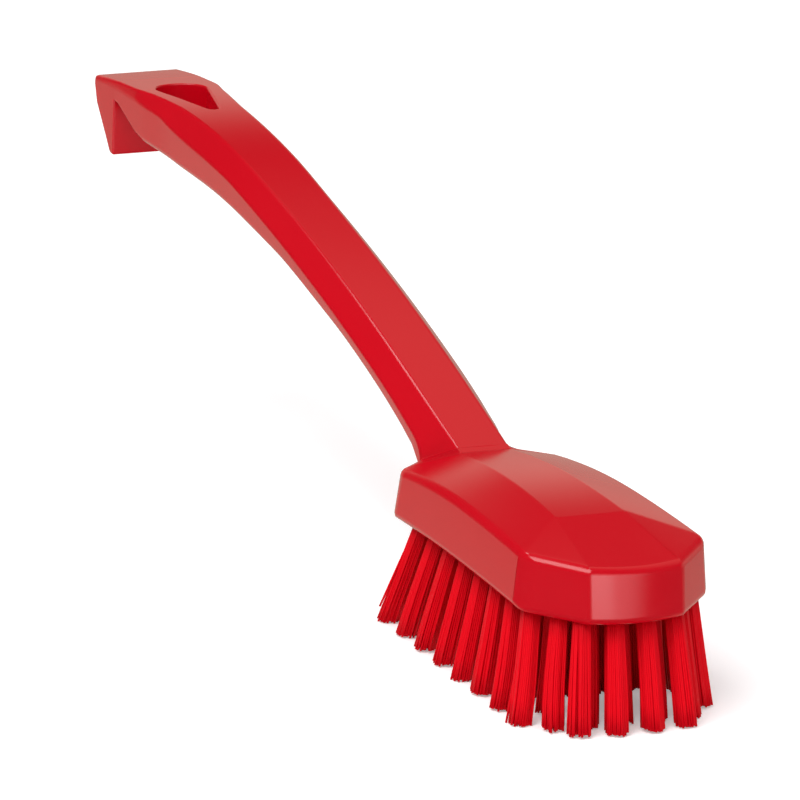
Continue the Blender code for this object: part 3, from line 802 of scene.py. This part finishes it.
def make_tuft(name, back, y, chance):
    """All filaments of one tuft as one mesh, each with its own shade."""
    root, tip = tuft_line(back, y)
    turn = chance.uniform(0, math.tau)
    bow = Vector((chance.gauss(0, 1), chance.gauss(0, 1), 0.0)) * BUNDLE_BOW / 2
    tuft_short = chance.uniform(0, TUFT_UNEVEN)
    tip = tip + (root - tip) / BRISTLE_HEIGHT * tuft_short
    verts = []
    faces = []
    shades = []
    arms = flat_ring(FILAMENT_SIDES)
    for place in packed_places(TUFT_RADIUS - FILAMENT_RADIUS, FILAMENT_SPACING):
        turned = Vector((place.x * math.cos(turn) - place.y * math.sin(turn),
                         place.x * math.sin(turn) + place.y * math.cos(turn), 0.0))
        shade = chance.random()
        first = len(verts)
        for point in filament_path(root, tip, turned, chance, bow):
            verts.extend(point + arm * FILAMENT_RADIUS for arm in arms)
            shades.extend([shade] * FILAMENT_SIDES)
        for segment in range(FILAMENT_SEGMENTS):
            ring = first + segment * FILAMENT_SIDES
            for side in range(FILAMENT_SIDES):
                other = (side + 1) % FILAMENT_SIDES
                faces.append((ring + side, ring + FILAMENT_SIDES + side,
                              ring + FILAMENT_SIDES + other, ring + other))
        last = first + FILAMENT_SEGMENTS * FILAMENT_SIDES
        faces.append([first + side for side in range(FILAMENT_SIDES)])
        faces.append([last + side for side in reversed(range(FILAMENT_SIDES))])
    mesh = bpy.data.meshes.new(name)
    mesh.from_pydata(verts, [], faces)
    mesh.attributes.new(SHADE_ATTRIBUTE, "FLOAT", "POINT").data.foreach_set("value", shades)
    for polygon in mesh.polygons:
        polygon.use_smooth = len(polygon.vertices) < FILAMENT_SIDES
    piece = bpy.data.objects.new(name, mesh)
    bpy.context.collection.objects.link(piece)
    return piece


FILAMENT_RED = (0.820, 0.0003, 0.0100, 1.0)
DEEP_FILAMENT_RED = (0.750, 0.0003, 0.0080, 1.0)
# Painted shade: the filaments darken towards their roots, where the tuft shades itself under the block.
SHADOW_RED = (0.400, 0.0005, 0.0050, 1.0)
FILAMENT_ROUGHNESS = 0.42
POLYESTER_IOR = 1.45
SPECULAR_LEVEL = 0.12
ROOT_SHADE_HEIGHT = 0.0050
ROOT_SHADE_SHARE = 0.5


def make_dyed_filament():
    """Extruded polyester, a little different from strand to strand, with painted shade that darkens it
    towards the roots.
    """
    material = bpy.data.materials.new("dyed_polyester_filament")
    material.use_nodes = True
    tree = material.node_tree
    shader = tree.nodes["Principled BSDF"]
    shade = add_node(tree, "Attribute", attribute_name=SHADE_ATTRIBUTE)
    strands = add_node(tree, "Mix", {
        "Factor": shade.outputs["Fac"], "A": DEEP_FILAMENT_RED, "B": FILAMENT_RED}, data_type="RGBA")
    # Painted shade, rising over the last few millimetres below the block's underside, half way to the
    # shadow red.
    place = add_node(tree, "TexCoord").outputs["Object"]
    height = add_node(tree, "SeparateXYZ", {"Vector": place})
    painted_root_shade = add_node(tree, "MapRange", {
        "Value": height.outputs["Z"], "From Min": BRISTLE_HEIGHT - ROOT_SHADE_HEIGHT,
        "From Max": BRISTLE_HEIGHT, "To Max": ROOT_SHADE_SHARE})
    root_shaded = add_node(tree, "Mix", {"Factor": painted_root_shade.outputs["Result"], "B": SHADOW_RED},
                    data_type="RGBA")
    tree.links.new(strands.outputs["Result"], root_shaded.inputs["A"])
    tree.links.new(root_shaded.outputs["Result"], shader.inputs["Base Color"])
    gloss = add_node(tree, "MapRange", {
        "Value": shade.outputs["Fac"], "To Min": FILAMENT_ROUGHNESS,
        "To Max": FILAMENT_ROUGHNESS + ROUGHNESS_SWING})
    tree.links.new(gloss.outputs["Result"], shader.inputs["Roughness"])
    shader.inputs["IOR"].default_value = POLYESTER_IOR
    shader.inputs["Specular IOR Level"].default_value = SPECULAR_LEVEL
    return material


dyed_filament = make_dyed_filament()
filament_chance = random.Random(TUFT_SEED)
for number, (root_back, root_y) in enumerate(tuft_roots(), start=1):
    tuft = make_tuft(f"filaments_{number:02d}", root_back, root_y, filament_chance)
    tuft.data.materials.append(dyed_filament)
    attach(tuft, "root")
    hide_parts(f"tuft_{number:02d}")

# The studio.
# The brush stands on a pale floor in even white light, with three softboxes round it. Its gloss
# sees a bright backdrop behind, a dark ceiling and a window in front, so that the facets part.

FLOOR_SIZE = 6.0
FLOOR_LEVEL = 0.86
FLOOR_ROUGHNESS = 0.9
FLOOR_LIFT = 0.30
SURROUND_LEVEL = 0.66
BACKDROP_TINT = (1.0, 0.97, 0.80, 1.0)
BACKDROP_EDGE_COSINES = (-0.25, 0.35)
FAR_SIDE_SINES = (-0.42, -0.14)
CEILING_SINE = 0.45
UNLIT_LEVEL = 0.01
WINDOW_AZIMUTH = math.radians(-2)
WINDOW_RISE = 0.14
WINDOW_EDGE_COSINES = (0.80, 0.97)
WINDOW_LEVEL = 2.1
SOFTBOX_DISTANCE = 1.10
CAMERA_AZIMUTH = math.radians(66.5)

# Height of a direction as a sine, then how bright the backdrop and the ceiling are there
backdrop_shares = (
    (-1.00, 0.45), (-0.40, 0.66), (-0.22, 0.48), (-0.05, 0.42), (0.05, 0.44), (0.20, 0.68), (0.27, 0.62),
    (0.38, 0.12), (0.45, 0.02), (0.60, 0.03), (0.68, 0.42), (0.80, 0.50), (1.00, 0.30),
)

# Azimuth and elevation in degrees, length of a side, and brightness of the face
softboxes = {
    "overhead_softbox": (-72, 61, 0.66, 4.8),
    "front_softbox": (-8, 6, 0.46, 2.0),
    "rear_softbox": (-162, 56, 0.26, 4.5),
}


def grey(level):
    return level, level, level, 1.0


def make_floor():
    """Pale paper, lifted to white for the camera alone. Gloss looks past it to the backdrop."""
    mesh = bpy.data.meshes.new("floor")
    reach = FLOOR_SIZE / 2
    corners = [(-reach, -reach, 0.0), (reach, -reach, 0.0), (reach, reach, 0.0), (-reach, reach, 0.0)]
    mesh.from_pydata(corners, [], [range(len(corners))])
    floor = bpy.data.objects.new("floor", mesh)
    bpy.context.collection.objects.link(floor)
    paper = bpy.data.materials.new("floor_paper")
    paper.use_nodes = True
    tree = paper.node_tree
    shader = tree.nodes["Principled BSDF"]
    shader.inputs["Base Color"].default_value = grey(FLOOR_LEVEL)
    shader.inputs["Roughness"].default_value = FLOOR_ROUGHNESS
    shader.inputs["Specular IOR Level"].default_value = 0.0
    shader.inputs["Emission Color"].default_value = grey(1.0)
    path = add_node(tree, "LightPath")
    lift = add_node(tree, "Math", {0: path.outputs["Is Camera Ray"], 1: FLOOR_LIFT}, operation="MULTIPLY")
    tree.links.new(lift.outputs["Value"], shader.inputs["Emission Strength"])
    clear = add_node(tree, "BsdfTransparent")
    seen = add_node(tree, "MixShader", {0: path.outputs["Is Glossy Ray"], 2: clear.outputs["BSDF"]})
    tree.links.new(shader.outputs["BSDF"], seen.inputs[1])
    tree.links.new(seen.outputs["Shader"], tree.nodes["Material Output"].inputs["Surface"])
    mesh.materials.append(paper)


def soft_step(tree, value, edges, level=1.0):
    """Nothing below the first edge, and a smooth rise to the level at the second."""
    start, end = edges
    step = add_node(tree, "MapRange", {"Value": value, "From Min": start, "From Max": end, "To Max": level},
                    interpolation_type="SMOOTHSTEP")
    return step.outputs["Result"]


def make_world():
    """White to the camera, even to diffuse light, and a backdrop, a ceiling and a window to gloss."""
    world = bpy.data.worlds.new("studio")
    world.use_nodes = True
    bpy.context.scene.world = world
    tree = world.node_tree
    surface = tree.nodes["Background"]
    direction = add_node(tree, "TexCoord").outputs["Generated"]
    height = add_node(tree, "SeparateXYZ", {"Vector": direction})
    place = add_node(tree, "MapRange", {"Value": height.outputs["Z"], "From Min": -1.0, "From Max": 1.0})
    ramp = add_node(tree, "ValToRGB", {"Fac": place.outputs["Result"]})
    elements = ramp.color_ramp.elements
    for sine, _ in backdrop_shares[1:-1]:
        elements.new((sine + 1) / 2)
    for element, (_, level) in zip(elements, backdrop_shares):
        element.color = grey(level)
    away = (-math.sin(CAMERA_AZIMUTH), math.cos(CAMERA_AZIMUTH), 0.0)
    depth = add_node(tree, "VectorMath", {0: direction, 1: away}, operation="DOT_PRODUCT")
    low_part = add_node(tree, "Math", {0: height.outputs["Z"], 1: CEILING_SINE}, operation="MINIMUM")
    lean = add_node(tree, "Math", {0: height.outputs["Y"], 1: low_part.outputs["Value"]},
                    operation="SUBTRACT")
    behind = soft_step(tree, depth.outputs["Value"], BACKDROP_EDGE_COSINES)
    far_side = soft_step(tree, lean.outputs["Value"], FAR_SIDE_SINES)
    in_view = add_node(tree, "Math", {0: behind, 1: far_side}, operation="MULTIPLY")
    backdrop = add_node(tree, "Mix", {"Factor": 1.0, "A": ramp.outputs["Color"], "B": BACKDROP_TINT},
                        data_type="RGBA", blend_type="MULTIPLY")
    room = add_node(tree, "Mix", {
        "Factor": in_view.outputs["Value"], "A": grey(UNLIT_LEVEL), "B": backdrop.outputs["Result"]},
        data_type="RGBA")
    front = Vector((math.cos(WINDOW_AZIMUTH), math.sin(WINDOW_AZIMUTH), WINDOW_RISE)).normalized()
    ahead = add_node(tree, "VectorMath", {0: direction, 1: front}, operation="DOT_PRODUCT")
    window = soft_step(tree, ahead.outputs["Value"], WINDOW_EDGE_COSINES, WINDOW_LEVEL)
    glossy = add_node(tree, "Mix", {"Factor": 1.0, "A": room.outputs["Result"], "B": window},
                      data_type="RGBA", blend_type="ADD")
    path = add_node(tree, "LightPath")
    lit = add_node(tree, "Mix", {
        "Factor": path.outputs["Is Glossy Ray"], "A": grey(SURROUND_LEVEL), "B": glossy.outputs["Result"]},
        data_type="RGBA")
    seen = add_node(tree, "Mix", {
        "Factor": path.outputs["Is Camera Ray"], "A": lit.outputs["Result"], "B": grey(1.0)},
        data_type="RGBA")
    tree.links.new(seen.outputs["Result"], surface.inputs["Color"])
    surface.inputs["Strength"].default_value = 1.0


def make_softbox(name, azimuth, elevation, size, brightness):
    """A square softbox aimed at the block, whose brightness is that of its face."""
    lamp = bpy.data.lights.new(name, "AREA")
    lamp.shape = "SQUARE"
    lamp.size = size
    lamp.energy = brightness * math.pi * size ** 2
    softbox = bpy.data.objects.new(name, lamp)
    aim = in_frame(REAR_CORNER_BACK / 2, 0.0, 0.0)
    outward = Vector((math.cos(azimuth) * math.cos(elevation), math.sin(azimuth) * math.cos(elevation),
                      math.sin(elevation)))
    softbox.location = aim + outward * SOFTBOX_DISTANCE
    softbox.rotation_euler = (-outward).to_track_quat("-Z", "Y").to_euler()
    softbox.visible_camera = False
    bpy.context.collection.objects.link(softbox)


make_floor()
make_world()
for softbox_name, (box_azimuth, box_elevation, box_size, box_brightness) in softboxes.items():
    make_softbox(softbox_name, math.radians(box_azimuth), math.radians(box_elevation), box_size,
                 box_brightness)

# The camera.
# It stands where the photograph was taken from, off the near side and a little above, with a long
# lens. The corners of the block and the hook gave its place. The sensor is in millimetres.

CAMERA_ELEVATION = math.radians(16.07)
CAMERA_ROLL = math.radians(1.911)
CAMERA_DISTANCE = 2.026316
AIM_ACROSS = 0.047370
AIM_UP = -0.065577
LENS_PIXELS = 9982
PICTURE_PIXELS = 800
SENSOR_WIDTH = 36.0


def make_camera():
    side = Vector((math.cos(CAMERA_AZIMUTH), math.sin(CAMERA_AZIMUTH), 0.0))
    away = Vector((-math.sin(CAMERA_AZIMUTH), math.cos(CAMERA_AZIMUTH), 0.0))
    level_up = Vector((0.0, 0.0, 1.0))
    forward = away * math.cos(CAMERA_ELEVATION) - level_up * math.sin(CAMERA_ELEVATION)
    upward = away * math.sin(CAMERA_ELEVATION) + level_up * math.cos(CAMERA_ELEVATION)
    right = side * math.cos(CAMERA_ROLL) + upward * math.sin(CAMERA_ROLL)
    up = upward * math.cos(CAMERA_ROLL) - side * math.sin(CAMERA_ROLL)
    camera = bpy.data.objects.new("camera", bpy.data.cameras.new("camera"))
    bpy.context.collection.objects.link(camera)
    middle = Vector((FRONT_LINE_X, 0.0, 0.0)) - right * AIM_ACROSS - up * AIM_UP
    camera.location = middle - forward * CAMERA_DISTANCE
    turned = forward.to_track_quat("-Z", "Y").to_matrix()
    turned.col[0] = right
    turned.col[1] = up
    turned.col[2] = -forward
    camera.rotation_euler = turned.to_euler()
    camera.data.sensor_width = SENSOR_WIDTH
    camera.data.lens = LENS_PIXELS / PICTURE_PIXELS * SENSOR_WIDTH
    camera.data.clip_end = 2 * FLOOR_SIZE
    bpy.context.scene.camera = camera


make_camera()
bpy.context.scene.view_settings.view_transform = "Standard"
